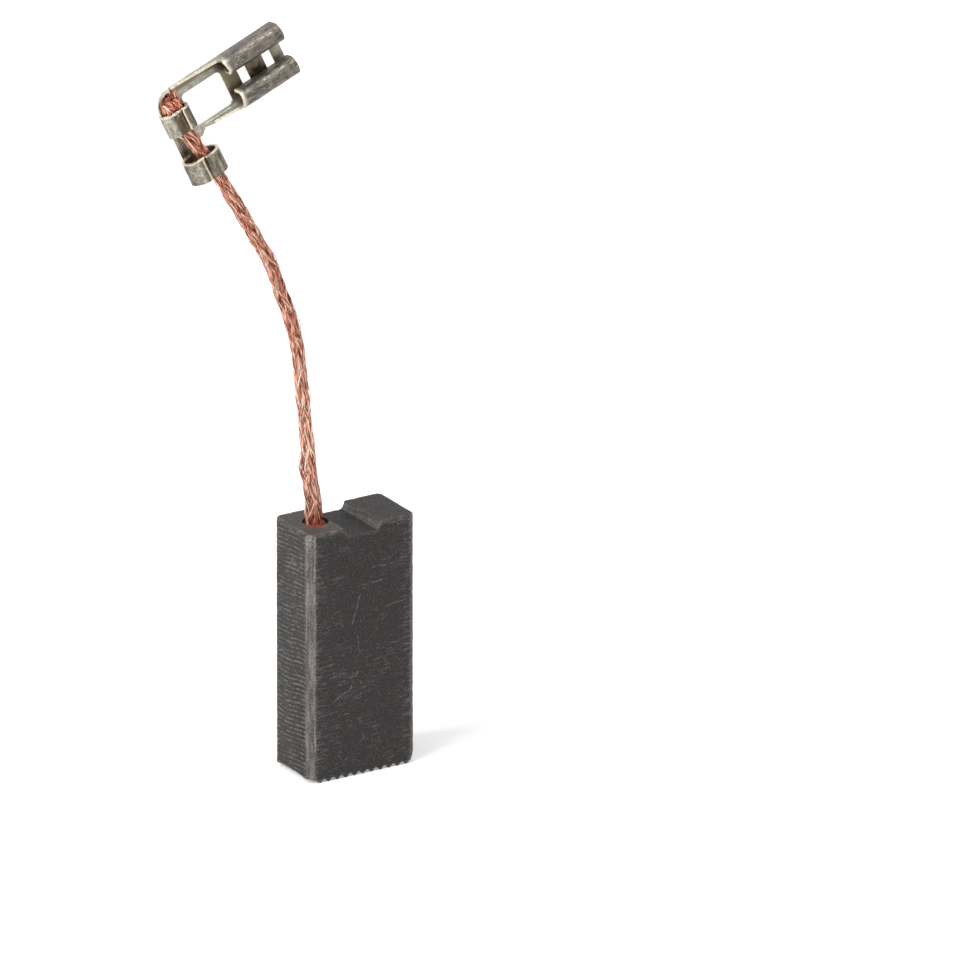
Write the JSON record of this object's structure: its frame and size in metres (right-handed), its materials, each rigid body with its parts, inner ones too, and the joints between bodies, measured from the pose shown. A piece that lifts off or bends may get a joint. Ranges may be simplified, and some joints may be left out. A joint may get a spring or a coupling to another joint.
{
  "type": "carbon brush",
  "caption": "Carbon motor brush: chamfered block with a ridged concave contact face and a spring slot, and a braided copper lead tamped in, crimped to a flag receptacle.",
  "frame": {"origin": "middle of the contact face, at the level of the ridges' lowest points, which is the surface the brush stands on", "axes": "+X across the wide face, parallel to the commutator's axis, away from the lead's hole; +Y through the thickness, away from the terminal's curled side; +Z along the brush towards the spring"},
  "size_m": [0.0269, 0.007, 0.0794],
  "materials": {
    "carbon": "sawn and ground copper-graphite, dull",
    "copper_powder": "tamped copper powder, matte",
    "copper_braid": "bare braided copper wire, bright",
    "tinned_brass": "stamped sheet, dull tin plating, brass showing at the cut edges"
  },
  "bodies": {
    "root": {"carbon_block": "carbon", "tamping_plug": "copper_powder", "shunt_lead": "copper_braid", "terminal": "tinned_brass"}
  },
  "joints": []
}
